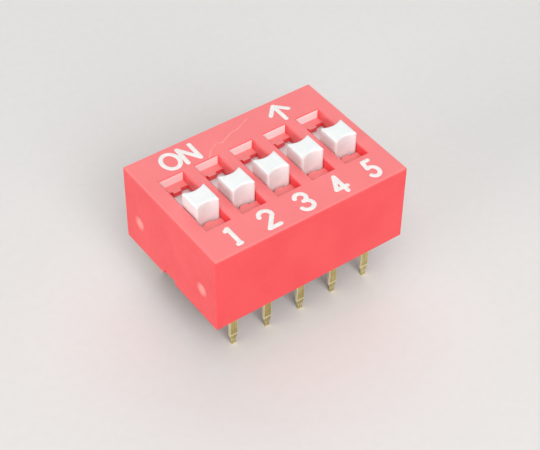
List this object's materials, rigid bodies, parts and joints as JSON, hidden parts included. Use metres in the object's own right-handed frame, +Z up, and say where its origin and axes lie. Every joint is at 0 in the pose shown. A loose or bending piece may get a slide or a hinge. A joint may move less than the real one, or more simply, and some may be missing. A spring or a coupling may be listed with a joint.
{
  "type": "dip switch",
  "caption": "Slide-type DIP switch: red box-shaped housing with stepped windows, white scooped slides between OFF and ON, and rows of through-hole pins.",
  "frame": {"origin": "under the middle of the housing, level with the tips of the pins", "axes": "+X along the row of positions from the first to the last, +Y towards the ON side, +Z up out of the board"},
  "size_m": [0.014, 0.01, 0.0099],
  "materials": {
    "housing": "red moulded thermoplastic, satin",
    "base": "black moulded thermoplastic",
    "slide": "white moulded nylon",
    "contact": "copper-alloy spring strip",
    "print": "white pad-printed ink",
    "terminal": "gold-flashed copper-alloy strip"
  },
  "bodies": {
    "housing": {"cover": "housing", "base": "base", "terminal_front_1": "terminal", "terminal_front_2": "terminal", "terminal_front_3": "terminal", "terminal_front_4": "terminal", "terminal_front_5": "terminal", "terminal_back_1": "terminal", "terminal_back_2": "terminal", "terminal_back_3": "terminal", "terminal_back_4": "terminal", "terminal_back_5": "terminal"},
    "switch_1": {"slide_1": "slide", "contact_1": "contact"},
    "switch_2": {"slide_2": "slide", "contact_2": "contact"},
    "switch_3": {"slide_3": "slide", "contact_3": "contact"},
    "switch_4": {"slide_4": "slide", "contact_4": "contact"},
    "switch_5": {"slide_5": "slide", "contact_5": "contact"}
  },
  "joints": [
    {"name": "slide_1_travel", "type": "slide", "parent": "housing", "child": "switch_1", "axis": [0, 1, 0], "range_m": [0, 0.0018]},
    {"name": "slide_2_travel", "type": "slide", "parent": "housing", "child": "switch_2", "axis": [0, 1, 0], "range_m": [0, 0.0018]},
    {"name": "slide_3_travel", "type": "slide", "parent": "housing", "child": "switch_3", "axis": [0, 1, 0], "range_m": [0, 0.0018]},
    {"name": "slide_4_travel", "type": "slide", "parent": "housing", "child": "switch_4", "axis": [0, 1, 0], "range_m": [0, 0.0018]},
    {"name": "slide_5_travel", "type": "slide", "parent": "housing", "child": "switch_5", "axis": [0, 1, 0], "range_m": [0, 0.0018]}
  ]
}
